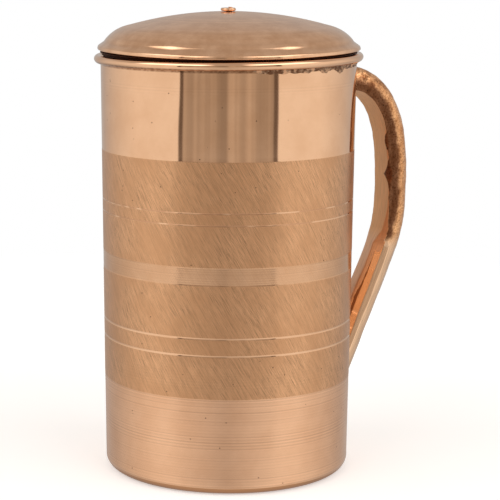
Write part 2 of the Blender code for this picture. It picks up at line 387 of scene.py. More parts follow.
POLISHED = (0.93, 0.585, 0.375, 1)
SATIN = (0.80, 0.452, 0.250, 1)
TURNED = (0.94, 0.570, 0.362, 1)
# dark brown: tarnish, and also painted shade along the bottom edge and under the roll
TARNISH_AND_SHADE = (0.45, 0.20, 0.09, 1)
# near black: oxide in specks, pits and pores, and painted shade on the collar and under the roll
OXIDE_AND_SHADE = (0.06, 0.022, 0.012, 1)
BRIGHT_CAST = (0.98, 0.54, 0.27, 1)
DARK_CAST = (0.27, 0.125, 0.065, 1)
GROUND_CAST = (0.98, 0.62, 0.34, 1)
FRESH_CAST = (1.0, 0.66, 0.43, 1)
SOLDER_GREY = (0.44, 0.28, 0.18, 1)


def body_finish():
    """Mirror band under the rim, satin band with hairlines and bright grooves, turned foot."""
    material, tree, shader, place = metal("body_finish")
    height, radius = height_and_radius(tree, place)
    hair = use(tree, HAIRLINES, Vector=place, Lean=11.0, Fineness=5000.0, Stretch=0.040)
    rings = use(tree, TURNING, Along=height, Pitch=1.27 * MM)
    dull = use(tree, TARNISH, Vector=place, Size=16 * MM)
    outside = calc(tree, "GREATER_THAN", radius, BASE_RADIUS - 0.55 * SHEET)

    satin = band(tree, height, SATIN_FOOT, SATIN_TOP, 0.25 * MM)
    line_cut = 0.0
    for groove, wide in zip(GROOVES, BRIGHT_HALVES):
        one = band(tree, height, groove - wide, groove + wide, 0.12 * MM)
        line_cut = calc(tree, "MAXIMUM", line_cut, one)
    step = band(tree, height, STEP_FOOT, STEP_TOP, 0.3 * MM)
    step = times(tree, step, ramp(tree, hair["Streak"], (0.40, 0.72), (0.56, 0.90)))
    cut = calc(tree, "MAXIMUM", line_cut, step)
    hair_share = calc(tree, "SUBTRACT", satin, cut, clamp=True)
    foot = fade(tree, height, SATIN_FOOT - 0.12 * MM, SATIN_FOOT + 0.12 * MM, 1.0, 0.0)
    lip = fade(tree, height, 161 * MM, 167 * MM)

    colour = blend_colour(tree, foot, POLISHED, TURNED)
    colour = tint(tree, step, colour, (0.84, 0.82, 0.79, 1))
    colour = blend_colour(tree, hair_share, colour, SATIN)
    worn = ramp(tree, dull["Cloud"], (0.40, 0.35), (0.62, 1.0))
    streak = ramp(tree, hair["Streak"], (0.40, 0.93), (0.56, 1.0))
    fine = ramp(tree, hair["Height"], (0.37, 0.50), (0.455, 0.88), (0.52, 1.0), (0.61, 1.16))
    scratched = tint(tree, 1.0, streak, blend_colour(tree, worn, (0.97, 0.97, 0.97, 1), fine))
    colour = tint(tree, hair_share, colour, scratched)
    ring_tone = ramp(tree, rings["Height"], (0.36, 0.86), (0.50, 0.97), (0.66, 1.04))
    patchy = ramp(tree, rings["Tone"], (0.38, 0.15), (0.58, 1.0))
    low_satin = band(tree, height, SATIN_FOOT, 52 * MM, 14 * MM)
    ring_share = calc(tree, "MAXIMUM", foot, times(tree, lip, 0.3))
    ring_share = calc(tree, "MAXIMUM", ring_share, times(tree, low_satin, 0.6))
    ring_part = times(tree, patchy, calc(tree, "MAXIMUM", ring_share, times(tree, step, 0.6)))
    colour = tint(tree, ring_part, colour, ring_tone)
    cloud = ramp(tree, dull["Cloud"], (0.35, (0.93, 0.90, 0.87)), (0.60, 1.0))
    colour = tint(tree, 1.0, colour, cloud)
    colour = blend_colour(tree, times(tree, dull["Speck"], 0.75), colour, OXIDE_AND_SHADE)
    stain = noise(tree, place, 900.0)
    dash = noise(tree, place, 110.0, 1.0)
    upper_cut = times(tree, line_cut, calc(tree, "GREATER_THAN", height, STEP_TOP))
    colour = blend_colour(tree, times(tree, upper_cut, ramp(tree, dash, (0.47, 0.0), (0.54, 0.55))),
                          colour, TARNISH_AND_SHADE)
    # patchy tarnish and painted shade in the crease just under the roll
    roll_crease_tarnish_and_shade = band(tree, height, ROLL_Z - 2.7 * MM, ROLL_Z - 1.15 * MM, 0.6 * MM)
    roll_crease_tarnish_and_shade = times(tree, roll_crease_tarnish_and_shade, ramp(tree, stain, (0.36, 0.55), (0.60, 1.0)))
    colour = blend_colour(tree, times(tree, roll_crease_tarnish_and_shade, 0.9), colour,
                          blend_colour(tree, 0.5, TARNISH_AND_SHADE, OXIDE_AND_SHADE))
    colour = blend_colour(tree, calc(tree, "SUBTRACT", 1.0, outside), colour,
                          blend_colour(tree, 0.5, TARNISH_AND_SHADE, SATIN))

    # painted contact shadow: the colour darkens towards the bottom edge over the lowest 2.4 mm
    base_contact_shadow = fade(tree, height, 0.5 * MM, 2.4 * MM, 0.85, 0.0)
    colour = blend_colour(tree, base_contact_shadow, colour, TARNISH_AND_SHADE)

    rough = blend_value(tree, foot, 0.045, 0.20)
    rough = blend_value(tree, step, rough, 0.09)
    rough = blend_value(tree, hair_share, rough, 0.29)
    rough = calc(tree, "ADD", rough, times(tree, dull["Cloud"], 0.03))
    rough = blend_value(tree, outside, 0.36, rough)

    normal = bump(tree, times(tree, hair["Height"], hair_share), 0.030 * MM)
    cut_rings = times(tree, ring_part, calc(tree, "MULTIPLY_ADD", foot, 0.9, 0.1))
    normal = bump(tree, times(tree, rings["Height"], cut_rings), 0.030 * MM, normal)
    connect(tree, shader, colour, rough, normal)
    return material


def lid_finish():
    """Softly polished spun copper: faint rings, cloudy handling marks, a few specks."""
    material, tree, shader, place = metal("lid_finish")
    radius = height_and_radius(tree, place)[1]
    rings = use(tree, TURNING, Along=radius, Pitch=0.5 * MM)
    dull = use(tree, TARNISH, Vector=place, Size=7 * MM)
    colour = tint(tree, 1.0, POLISHED, ramp(tree, rings["Tone"], (0.35, 0.93), (0.60, 1.0)))
    cloud = ramp(tree, dull["Cloud"], (0.35, (0.86, 0.81, 0.76)), (0.62, 1.0))
    colour = tint(tree, 1.0, colour, cloud)
    colour = blend_colour(tree, times(tree, dull["Speck"], 0.4), colour, TARNISH_AND_SHADE)
    crown = fade(tree, radius, 50.5 * MM, 44.0 * MM)
    rough = blend_value(tree, crown, 0.06, 0.19)
    rough = calc(tree, "ADD", rough, times(tree, dull["Cloud"], 0.08))
    normal = bump(tree, rings["Height"], 0.004 * MM)
    normal = bump(tree, dull["Cloud"], 0.04 * MM, normal)
    connect(tree, shader, colour, rough, normal)
    return material


def plain_finish(name, colour_value, roughness, grain_size=0.8 * MM, depth=0.03 * MM):
    """Dull metal with fine grain and cloudy tarnish, for the wire, collar, burr and rivet."""
    material, tree, shader, place = metal(name)
    grain = use(tree, PORES, Vector=place, Size=grain_size)
    dull = use(tree, TARNISH, Vector=place, Size=5 * MM)
    cloud = ramp(tree, dull["Cloud"], (0.35, (0.78, 0.70, 0.62)), (0.62, 1.0))
    colour = tint(tree, 1.0, colour_value, cloud)
    rough = calc(tree, "ADD", roughness, times(tree, dull["Cloud"], 0.12))
    connect(tree, shader, colour, rough, bump(tree, grain["Height"], depth))
    return material


def solder_finish(name, colour_value, roughness):
    """Lumpy filler metal with dark flux in its hollows."""
    material, tree, shader, place = metal(name)
    grain = use(tree, PORES, Vector=place, Size=0.9 * MM)
    dull = use(tree, TARNISH, Vector=place, Size=2.2 * MM)
    flux = ramp(tree, dull["Cloud"], (0.42, (0.30, 0.17, 0.11)), (0.54, 1.0),
                (0.62, (1.9, 1.7, 1.55)))
    colour = tint(tree, 0.85, colour_value, flux)
    colour = blend_colour(tree, times(tree, grain["Pore"], 0.6), colour, OXIDE_AND_SHADE)
    rough = calc(tree, "ADD", roughness, times(tree, dull["Cloud"], 0.2))
    normal = bump(tree, grain["Height"], 0.10 * MM)
    connect(tree, shader, colour, rough, bump(tree, dull["Cloud"], 0.12 * MM, normal))
    return material


def cast_finish():
    """Cast handle: dark skin in its sides, a buffed back, and pale ground faces.

    The attributes ground, fresh, buffed and smooth, from 0 to 1, and the map "lengthwise", in
    metres across and along the bar, come with the mesh.
    """
    material, tree, shader, place = metal("cast_finish")
    ground, fresh, buffed, smooth = (
        add(tree, "ShaderNodeAttribute", attribute_name=label).outputs["Fac"]
        for label in ("ground", "fresh", "buffed", "smooth"))
    along = add(tree, "ShaderNodeUVMap", uv_map="lengthwise").outputs[0]
    grain = use(tree, PORES, Vector=place, Size=0.7 * MM)
    dull = use(tree, TARNISH, Vector=place, Size=5 * MM)
    drawn = add(tree, "ShaderNodeVectorMath", {0: along, 1: (1.0, 0.045, 1.0)},
                operation="MULTIPLY").outputs[0]
    file_marks = noise(tree, drawn, 2200.0, 3.0)

    uneven = calc(tree, "MULTIPLY_ADD", calc(tree, "SUBTRACT", dull["Cloud"], 0.5), 0.9, buffed)
    back = fade(tree, uneven, 0.30, 0.75)
    colour = blend_colour(tree, back, DARK_CAST, BRIGHT_CAST)
    speckle = ramp(tree, grain["Height"], (0.38, (0.62, 0.52, 0.44)), (0.50, 1.0), (0.62, 1.12))
    colour = tint(tree, calc(tree, "SUBTRACT", 1.0, smooth), colour, speckle)
    stain = ramp(tree, dull["Cloud"], (0.35, (0.74, 0.62, 0.50)), (0.60, 1.0))
    colour = tint(tree, calc(tree, "MULTIPLY_ADD", smooth, -0.6, 0.9), colour, stain)
    colour = blend_colour(tree, times(tree, smooth, back), colour, FRESH_CAST)
    colour = blend_colour(tree, ground, colour, GROUND_CAST)
    colour = blend_colour(tree, fresh, colour, FRESH_CAST)
    rough_skin = times(tree, calc(tree, "SUBTRACT", 1.0, smooth), calc(tree, "SUBTRACT", 1.0, ground))
    pits = times(tree, grain["Pore"], calc(tree, "MULTIPLY_ADD", rough_skin, 0.75, 0.2))
    colour = blend_colour(tree, pits, colour, OXIDE_AND_SHADE)
    marks = ramp(tree, file_marks, (0.35, 0.82), (0.60, 1.0))
    colour = tint(tree, calc(tree, "MULTIPLY_ADD", rough_skin, -0.6, 0.8), colour, marks)

    rough = blend_value(tree, back, 0.46, 0.27)
    rough = blend_value(tree, smooth, rough, 0.17)
    rough = blend_value(tree, ground, rough, 0.50)
    rough = calc(tree, "ADD", rough, times(tree, dull["Cloud"], 0.08))
    normal = bump(tree, times(tree, grain["Height"], rough_skin), 0.16 * MM)
    normal = bump(tree, times(tree, pits, -1.0), 0.20 * MM, normal)
    normal = bump(tree, file_marks, 0.014 * MM, normal)
    connect(tree, shader, colour, rough, normal)
    return material


# --- body ---------------------------------------------------------------------------------
def wall_radius(z):
    """Outer radius of the wall at a height: a straight taper from mouth to base."""
    return BASE_RADIUS + (MOUTH_RADIUS - BASE_RADIUS) * z / ROLL_Z


def groove_depth(z):
    """Depth of the engraved lines: a shallow bell at each groove, and in the step band a
    sine of eight fine ridges, 0.003 mm deep."""
    depth = sum(deep * bell(z, groove, 0.32 * MM) for groove, deep in zip(GROOVES, GROOVE_DEPTHS))
    step = smoothstep(z, STEP_FOOT, STEP_FOOT + 0.3 * MM) * smoothstep(-z, -STEP_TOP, -STEP_TOP + 0.3 * MM)
    turns = 0.5 - 0.5 * np.cos((z - STEP_FOOT) / (STEP_TOP - STEP_FOOT) * math.tau * 8)
    polish = smoothstep(z, SATIN_TOP - 0.2 * MM, SATIN_TOP + 0.2 * MM)
    foot = smoothstep(-z, -SATIN_FOOT - 0.2 * MM, -SATIN_FOOT + 0.2 * MM)
    return depth + step * (0.03 + 0.003 * turns) * MM + (polish + foot) * 0.03 * MM


def body_profile():
    """The shell's section: base, rounded corner, wall, rolled rim with a slit, and back inside."""
    corner = (wall_radius(BASE_CORNER) - BASE_CORNER, BASE_CORNER)
    heights = np.concatenate([np.linspace(6 * MM, ROLL_Z - 0.6 * MM, 58)]
                             + [groove + np.linspace(-0.7, 0.7, 13) * MM for groove in GROOVES]
                             + [np.linspace(STEP_FOOT - 0.4 * MM, STEP_TOP + 0.4 * MM, 66)]
                             + [edge + np.linspace(-0.25, 0.25, 5) * MM for edge in (SATIN_FOOT, SATIN_TOP)])
    heights = np.unique(np.round(heights, 6))
    wall = np.stack([wall_radius(heights) - groove_depth(heights), heights], axis=1)
    roll = (ROLL_R, ROLL_Z)
    roll_end = -114
    inner_corner = bend(corner, BASE_CORNER - SHEET, 0, -90, 10)
    return np.concatenate([
        [(0, 0)], line((20 * MM, 0), corner, 1), line((38 * MM, 0), corner, 1),
        bend(corner, BASE_CORNER, -90, 0, 18), wall,
        bend(roll, ROLL_RADIUS - SHEET, 180, roll_end, 22),
        bend((ROLL_R + (ROLL_RADIUS - SHEET / 2) * math.cos(math.radians(roll_end)),
              ROLL_Z + (ROLL_RADIUS - SHEET / 2) * math.sin(math.radians(roll_end))),
             SHEET / 2, roll_end + 180, roll_end + 360, 5)[1:-1],
        bend(roll, ROLL_RADIUS, roll_end, 180, 34),
        line((MOUTH_RADIUS - SHEET, ROLL_Z - 1 * MM), inner_corner[0], 24),
        inner_corner, [(30 * MM, SHEET), (0, SHEET)]])


def body_wobble(angle, r, z):
    """Hand-polished unevenness: soft waves a few hundredths of a millimetre high."""
    x, y = r * np.cos(angle), r * np.sin(angle)
    soft = ripple(x, y, 0.45 * z, 34 * MM, 3) * 0.030 * MM + ripple(x, y, z, 13 * MM, 4) * 0.004 * MM
    rim = smoothstep(z, ROLL_Z - 3 * MM, ROLL_Z) * ripple(x, y, z, 22 * MM, 5) * 0.03 * MM
    side = (angle - RIM_DENT + math.pi) % math.tau - math.pi
    rim = rim - 0.34 * MM * bell(side * MOUTH_RADIUS, 0, 5 * MM) * smoothstep(z, 150 * MM, 174 * MM)
    return (soft + rim) * smoothstep(r, 0.3 * BASE_RADIUS, 0.9 * BASE_RADIUS)


def rim_lift(angle, r, z):
    """The rim is not quite level: a cosine, up by RIM_RISE on one side and down on the other."""
    return RIM_RISE * np.cos(angle - SIDEWAYS) * smoothstep(z, 150 * MM, 176 * MM)


def make_body():
    material = body_finish()
    body = lathe("spun_body", body_profile(), 288, material, "jug", body_wobble, rim_lift)
    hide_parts("body_shell")


def make_rim_solder():
    """A ragged run of filler under the roll: its lower edge is a sum of teeth and ripples, and
    its face is lumpy, thinning to nothing at the edge."""
    start, end = math.radians(-99), math.radians(-13)
    steps, across = 420, 15
    angle = np.linspace(start, end, steps)[:, None]
    arc = angle * MOUTH_RADIUS
    teeth = np.abs(ripple(arc, 0, 0, 8 * MM, 11)) * 0.8 + np.abs(ripple(arc, 0, 0, 3.4 * MM, 12)) * 0.25
    thin = smoothstep(angle, start, start + 0.12) * smoothstep(-angle, -end, -end + 0.05)
    drop = (1.1 + 1.1 * teeth) * MM * (0.25 + 0.75 * thin)
    top = ROLL_Z - ROLL_RADIUS * 0.93 + RIM_RISE * np.cos(angle - SIDEWAYS)
    t = np.linspace(0, 1, across)[None, :]
    z = top - drop * t
    wall = wall_radius(z)
    lump = 0.55 + 0.45 * ripple(arc, 0, z * 1.4, 2.2 * MM, 13) + 0.2 * ripple(arc, 0, z, 0.9 * MM, 14)
    depth = (0.10 + 0.30 * np.clip(lump, 0, 1.3)) * MM * (1 - t ** 3) * thin
    outer = wall + depth + 0.02 * MM + 0.35 * MM * (1 - smoothstep(t, 0, 0.25)) * thin
    inner = wall - 0.15 * MM
    r = np.concatenate([outer, inner[:, ::-1]], axis=1)
    z = np.concatenate([z, z[:, ::-1]], axis=1)
    grid = np.stack([r * np.cos(angle), r * np.sin(angle), z], axis=-1)
    run = grid_piece("rim_solder_run", grid, solder_finish("rim_solder_finish", SOLDER_GREY, 0.30), "jug",
                     first_tip=grid[0].mean(0), last_tip=grid[-1].mean(0))
    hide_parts("rim_solder")


# --- handle -------------------------------------------------------------------------------
HANDLE_CENTRE = (               # radius from the jug's axis, height
    (46.0, 165.4), (55.0, 166.0), (62.4, 163.2), (68.8, 156.6), (73.2, 147.0), (75.0, 136.0),
    (75.6, 122.0), (75.0, 108.0), (72.4, 95.5), (68.0, 83.0), (58.0, 58.0), (43.4, 22.2))
HANDLE_HALF_WIDTH = 8.85 * MM
HANDLE_BACK = 5.65 * MM
HANDLE_SPRING = -3.1 * MM       # where the round back springs from the sides
TAIL_TOP, TAIL_FULL = 100 * MM, 92 * MM         # heights between which the filed tail sets in
SIDE_FACET = math.radians(28)                   # facet beside the inner flat
# bites and bulges in the near edge of the flat: height, half-length and size, in mm
EDGE_LUMPS = ((132, 3.0, 0.4), (139, 2.6, -0.7), (124.5, 3.2, -2.2), (145, 3.0, 0.3), (112, 8.0, 0.4))
# filed faces on the tail: degrees from outwards towards the near side, and distance in mm
FILED_FACES = ((138, 6.75), (110, 7.75), (78, 7.95), (57, 6.90), (36, 6.12), (15, 5.62),
               (-10, 5.55), (-38, 6.2), (-66, 7.4))


def handle_path(count):
    """A Catmull-Rom curve through HANDLE_CENTRE, evenly spaced: points, outward normals and
    distance along."""
    knots = np.array(HANDLE_CENTRE) * MM
    knots = np.concatenate([[2 * knots[0] - knots[1]], knots, [2 * knots[-1] - knots[-2]]])
    t = np.linspace(0, 1, 60, endpoint=False)[:, None]
    spans = []
    for a, b, c, d in zip(knots, knots[1:], knots[2:], knots[3:]):
        spans.append(0.5 * (2 * b + (c - a) * t + (2 * a - 5 * b + 4 * c - d) * t ** 2
                            + (3 * b - 3 * c + d - a) * t ** 3))
    points = np.concatenate(spans + [knots[-2:-1]])
    run = np.concatenate([[0], np.cumsum(np.linalg.norm(np.diff(points, axis=0), axis=1))])
    along = np.linspace(0, run[-1], count)
    r, z = np.interp(along, run, points[:, 0]), np.interp(along, run, points[:, 1])
    slope = np.stack([np.gradient(r), np.gradient(z)], axis=1)
    slope /= np.linalg.norm(slope, axis=1, keepdims=True)
    return r, z, np.stack([-slope[:, 1], slope[:, 0]], axis=1), along


def grind(out, side, aim, limit, ground):
    """Cuts the section back to the plane at distance limit along aim = (outwards, sideways)."""
    over = np.maximum(out * aim[0] + side * aim[1] - limit, 0)
    ground[:] = np.maximum(ground, smoothstep(over, 0.0, 0.05 * MM))
    return out - over * aim[0], side - over * aim[1]


def handle_surface(count=560, around=128, grow=0.0):
    """Cast half-round bar, then ground.

    The section is a half ellipse outwards and a flatter ellipse towards the jug, with a
    shallow waist in each side, and ripples for the casting's unevenness. Planes then cut it:
    the inner flat, one facet beside it, and long filed faces on the tail.
    """
    r, z, normal, along = handle_path(count)
    turn = (np.arange(around) * math.tau / around)[None, :]
    s, height = along[:, None], z[:, None]
    tail = smoothstep(-height, -TAIL_TOP, -TAIL_FULL)
    spring = HANDLE_SPRING - 1.4 * MM * tail
    rise = np.where(np.sin(turn) > 0, HANDLE_BACK - spring, 3.7 * MM - 1.4 * MM * tail)
    out = spring + rise * np.sin(turn)
    power = 0.92 - 0.50 * tail * (np.sin(turn) < 0)
    side = HANDLE_HALF_WIDTH * np.sign(np.cos(turn)) * np.abs(np.cos(turn)) ** power
    side = side * (1 - 0.09 * bell(out, -3.3 * MM, 1.1 * MM))

    skin = (1 - 0.85 * tail)
    x, y, w = s, side, out
    uneven = ripple(x, y, w, 14 * MM, 21) * 0.16 * MM
    uneven += ripple(x, y, w, 4.5 * MM, 22) * 0.045 * MM * skin
    uneven += ripple(x, y, w, 1.7 * MM, 23) * 0.020 * MM * skin
    inner_side = smoothstep(-np.sin(turn), 0.0, 0.5)
    lumps = sum(size * bell(height, at * MM, wide * MM) for at, wide, size in EDGE_LUMPS)
    near = smoothstep(-side, -2 * MM, 5 * MM)
    uneven += lumps * MM * inner_side * near
    uneven += ripple(s, 0, side * 0.4, 6 * MM, 24) * 0.10 * MM * inner_side
    length = np.hypot((out - spring), side) + 1e-9
    out = out + uneven * (out - spring) / length
    side = side + uneven * side / length

    ground, fresh = np.zeros_like(out), np.zeros_like(out)
    tilt = np.radians(0.5 + 3.5 * smoothstep(height, 141 * MM, 150 * MM) - 9.5 * tail)
    far_edge = (5.5 - 1.1 * smoothstep(-height, -140 * MM, -95 * MM)) * MM
    limit = far_edge * np.cos(tilt) - 8 * MM * np.sin(tilt) + ripple(s, 0, 0, 30 * MM, 25) * 0.10 * MM
    out, side = grind(out, side, (-np.cos(tilt), -np.sin(tilt)), limit, ground)
    lens = (6.35 + (1.7 + 2.5 * tail) * (1 - bell(height, 98 * MM, 8.5 * MM))) * MM
    out, side = grind(out, side, (-math.cos(SIDE_FACET), -math.sin(SIDE_FACET)), lens, fresh)
    ground = np.maximum(ground, fresh)
    filed = np.zeros_like(out)
    for degrees, reach in FILED_FACES:
        aim = (math.cos(math.radians(degrees)), -math.sin(math.radians(degrees)))
        limit = (reach + 3.0 * (1 - tail) + 0.05 * ripple(s, 0, 0, 18 * MM, 100 + degrees)) * MM
        out, side = grind(out, side, aim, limit, filed)

    pit = bell(s, 12.6 * MM, 0.75 * MM) * bell(side, -7.2 * MM, 1.0 * MM) * smoothstep(out, -4 * MM, -1 * MM)
    out, side = out - 1.1 * MM * pit * 0.4, side + 1.1 * MM * pit
    length = np.hypot(out, side)
    out, side = out * (1 + grow / length), side * (1 + grow / length)

    x = r[:, None] + normal[:, :1] * out
    grid = np.stack([x, side, height + normal[:, 1:] * out], axis=-1)
    buffed = smoothstep(out, -3.3 * MM, 2.9 * MM) * (1 - ground)
    buffed = buffed * (1 - 0.35 * smoothstep(height, 148 * MM, 162 * MM))
    buffed = np.maximum(buffed, tail * smoothstep(out, -4.9 * MM, -4.0 * MM))
    fresh = np.maximum(fresh, tail * ground)
    return grid, {"ground": ground, "fresh": fresh, "buffed": buffed, "smooth": tail + 0 * out}, along, turn


def wall_gap(grid):
    """How far each point is outside the body's wall."""
    return np.hypot(grid[..., 0], grid[..., 1]) - wall_radius(grid[..., 2])


def meet_wall(grid, gap, from_top):
    """Where each lengthwise column of the bar first stands this far off the wall."""
    distance = wall_gap(grid)
    rows = np.arange(len(grid))
    if not from_top:
        grid, distance = grid[::-1], distance[::-1]
    crossed = np.argmax(distance > gap, axis=0)
    crossed = np.clip(crossed, 1, len(rows) - 1)
    column = np.arange(grid.shape[1])
    after, before = distance[crossed, column], distance[crossed - 1, column]
    t = ((gap - before) / (after - before))[:, None]
    return grid[crossed - 1, column] * (1 - t) + grid[crossed, column] * t


def store(piece, attributes, columns_map):
    """Writes point attributes and the lengthwise map onto a grid piece."""
    mesh = piece.data
    for label, values in attributes.items():
        layer = mesh.attributes.new(label, "FLOAT", "POINT")
        data = np.zeros(len(mesh.vertices), np.float32)
        data[:values.size] = values.ravel()
        layer.data.foreach_set("value", data)
    uv = mesh.uv_layers.new(name="lengthwise")
    vertex = np.zeros(len(mesh.loops), np.int32)
    mesh.loops.foreach_get("vertex_index", vertex)
    flat = np.zeros((len(mesh.vertices), 2))
    flat[:columns_map.shape[0]] = columns_map
    uv.data.foreach_set("uv", flat[vertex].astype(np.float32).ravel())


def make_handle():
    """The bar is trimmed at each end to the wall, column by column, and closed there."""
    grid, attributes, along, turn = handle_surface()
    touch = 0.05 * MM
    rows = np.arange(len(grid))[:, None]
    outside = wall_gap(grid) > touch
    first = np.argmax(outside, axis=0)[None, :]
    last = (len(grid) - 1 - np.argmax(outside[::-1], axis=0))[None, :]
    top, foot = meet_wall(grid, touch, True), meet_wall(grid, touch, False)
    grid = np.where((rows < first)[..., None], top[None], grid)
    grid = np.where((rows > last)[..., None], foot[None], grid)
    keep = slice(int(first.min()) - 1, int(last.max()) + 2)
    grid = grid[keep]
    attributes = {label: values[keep] for label, values in attributes.items()}
    bar = grid_piece("handle_casting", grid, cast_finish(), "jug",
                     first_tip=grid[0].mean(0), last_tip=grid[-1].mean(0))
    across = np.broadcast_to(turn / math.tau * 44 * MM, grid.shape[:2])
    length = np.broadcast_to(along[keep][:, None], grid.shape[:2])
    store(bar, attributes, np.stack([across.ravel(), length.ravel()], axis=1))
    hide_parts("handle")


def make_braze(name, node, from_top, spread, climb, material):
    """A fillet between bar and wall: a quarter hollow swept round the joint, from the bar
    grown by spread where it meets the wall to the bar itself at climb above the wall."""
    steps = 9
    rings = []
    for t in np.linspace(0, 1, steps):
        grow = spread * (1 - math.sin(t * math.pi / 2)) + 0.05 * MM
        gap = climb * (1 - math.cos(t * math.pi / 2)) + 0.05 * MM
        surface = handle_surface(420, 128, grow)[0]
        rings.append(meet_wall(surface, gap, from_top))
    rings = np.stack(rings)
    inside = np.stack([rings[-1] * 0.5 + rings[0] * 0.5, rings[0]])
    radial = np.hypot(inside[..., 0], inside[..., 1])
    target = wall_radius(inside[..., 2]) - 0.25 * MM
    inside[..., :2] *= (target / radial)[..., None]
    wave = ripple(rings[..., 0], rings[..., 1], rings[..., 2], 3.5 * MM, 41)[..., None] * 0.14 * MM
    middle = np.sin(np.linspace(0, math.pi, steps))[:, None, None]
    away = rings * (1, 1, 0)
    away = away / np.linalg.norm(away, axis=-1, keepdims=True)
    loop = np.concatenate([rings + away * wave * middle, inside])
    piece = grid_piece(name, loop, material, "jug", ring=True)
    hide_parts(node)


def make_joints():
    material = solder_finish("braze_finish", (0.74, 0.42, 0.22, 1), 0.30)
    make_braze("upper_braze_fillet", "upper_braze", True, 1.3 * MM, 1.6 * MM, material)
    make_braze("lower_braze_fillet", "lower_braze", False, 1.1 * MM, 0.9 * MM, material)


# --- lid ----------------------------------------------------------------------------------
LID_APEX = lid_high.z
CROWN_RADIUS = 156 * MM
SHOULDER_RADIUS = 18.1 * MM
CROWN_EDGE = 43 * MM
SHOULDER_END = 51.9 * MM
FLANGE_START = 52.8 * MM
FLANGE_SLOPE = math.radians(35)
RIVET_HOLE = 1.5 * MM
HEM_RADIUS = 0.85 * MM
HEM_R = lid_high.x - HEM_RADIUS
HEM_Z = lid_low.z + HEM_RADIUS


def lid_profile():
    """Crown arc, tighter shoulder arc, hollow corner, flange and hem, then the same from below."""
    crown = (0.0, LID_APEX - CROWN_RADIUS)
    meet = math.asin(CROWN_EDGE / CROWN_RADIUS)
    reach = CROWN_RADIUS - SHOULDER_RADIUS
    shoulder = (reach * math.sin(meet), crown[1] + reach * math.cos(meet))
    last = math.degrees(math.asin((SHOULDER_END - shoulder[0]) / SHOULDER_RADIUS))
    meet = math.degrees(meet)

    def dome(depth, turns):
        hole = math.degrees(math.asin(RIVET_HOLE / (CROWN_RADIUS - depth)))
        return np.concatenate([
            bend(crown, CROWN_RADIUS - depth, 90 - hole, 90 - meet, turns)[:-1],
            bend(shoulder, SHOULDER_RADIUS - depth, 90 - meet, 90 - last, turns // 2)])

    normal = np.array((math.sin(FLANGE_SLOPE), math.cos(FLANGE_SLOPE)))
    hem = np.array((HEM_R, HEM_Z))
    tangent = hem + HEM_RADIUS * normal
    face = hem + np.array((0.60, 0.58)) * MM            # the hem's edge is hammered nearly flat
    foot = hem + np.array((0.83, -0.18)) * MM
    round_r = 0.44 * MM
    fall = math.tan(FLANGE_SLOPE)
    bend_r = FLANGE_START - 0.2 * MM
    corner = np.array((bend_r, tangent[1] + (tangent[0] - bend_r) * fall))
    flat = corner + 0.5 * MM * np.array((1, -fall))
    under = corner - SHEET * normal
    inner = HEM_R - HEM_RADIUS
    outer = dome(0.0, 40)
    return np.concatenate([
        outer, round_corner(outer[-1], corner, flat, 9), line(flat, tangent, 4),
        line(face, foot, 5), bend(hem + np.array((HEM_RADIUS - round_r, -0.41 * MM)), round_r, 20, -90, 9),
        bend(hem - np.array((HEM_RADIUS - round_r, HEM_RADIUS - round_r)), round_r, -90, -180, 7),
        [(inner, under[1] - (inner - under[0]) * fall)], [under], dome(SHEET, 24)[::-1]])


def round_corner(start, corner, end, count):
    """Points between start and end on the quadratic curve that the corner pulls."""
    t = np.linspace(0, 1, count + 2)[1:-1, None]
    return (1 - t) ** 2 * start + 2 * t * (1 - t) * corner + t ** 2 * end


def lid_wobble(angle, r, z):
    """The spun lid is not quite round: soft waves, stronger towards the flange."""
    x, y = r * np.cos(angle), r * np.sin(angle)
    return (ripple(x, y, 0 * z, 26 * MM, 51) * 0.10 * MM * smoothstep(r, 30 * MM, 54 * MM)
            + ripple(x, y, z, 8 * MM, 52) * 0.012 * MM * smoothstep(r, 10 * MM, 30 * MM))


def lid_lift(angle, r, z):
    """The flange is a little warped: its sides stand 0.6 mm up, its front hangs 0.3 mm."""
    return (0.15 + 0.45 * np.cos(2 * (angle - SIDEWAYS))) * MM * smoothstep(r, 40 * MM, 54 * MM)


def collar_profile():
    """Straight strip with a pinched fold that sits on the rim, turned in at its lower edge."""
    r = 52.6 * MM
    strip = 0.5 * MM
    fold_z, fold_half = 178.65 * MM, 0.4 * MM
    fold_r = collar_high.x
    top, foot = collar_high.z, collar_low.z
    edge = 0.2 * MM
    return np.concatenate([
        [(r - 0.1 * MM, top), (r, top - 0.1 * MM)],
        line((r, top - 0.4 * MM), (r, fold_z + fold_half + edge), 3),
        bend((r + edge, fold_z + fold_half + edge), edge, 180, 270, 4),
        bend((fold_r - fold_half, fold_z), fold_half, 90, -90, 12),
        bend((r + edge, fold_z - fold_half - edge), edge, 90, 180, 4),
        line((r, fold_z - fold_half - 2 * edge), (r, foot + 1.8 * MM), 4),
        round_corner(np.array((r, foot + 1.8 * MM)), np.array((r, foot + 0.9 * MM)),
                     np.array((r - 0.7 * MM, foot)), 6),
        bend((r - 0.95 * MM, foot + 0.15 * MM), 0.2 * MM, -40, -200, 6),
        round_corner(np.array((r - 1.15 * MM, foot + 0.25 * MM)), np.array((r - strip, foot + 1.0 * MM)),
                     np.array((r - strip, foot + 1.9 * MM)), 6),
        line((r - strip, foot + 2.0 * MM), (r - strip, top - 0.1 * MM), 5),
        [(r - strip, top - 0.1 * MM), (r - strip + 0.1 * MM, top)]])


def make_lid():
    shell = lathe("spun_lid", lid_profile(), 288, lid_finish(), "lid", lid_wobble, lid_lift)
    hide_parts("lid_shell")
    # The collar strip is near black: heat oxide, and painted shade of the narrow gap between lid and rim.
    collar = lathe("collar_strip", collar_profile(), 256,
                   plain_finish("collar_oxide_and_shade_finish", OXIDE_AND_SHADE, 0.55), "lid")
    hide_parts("lid_collar")


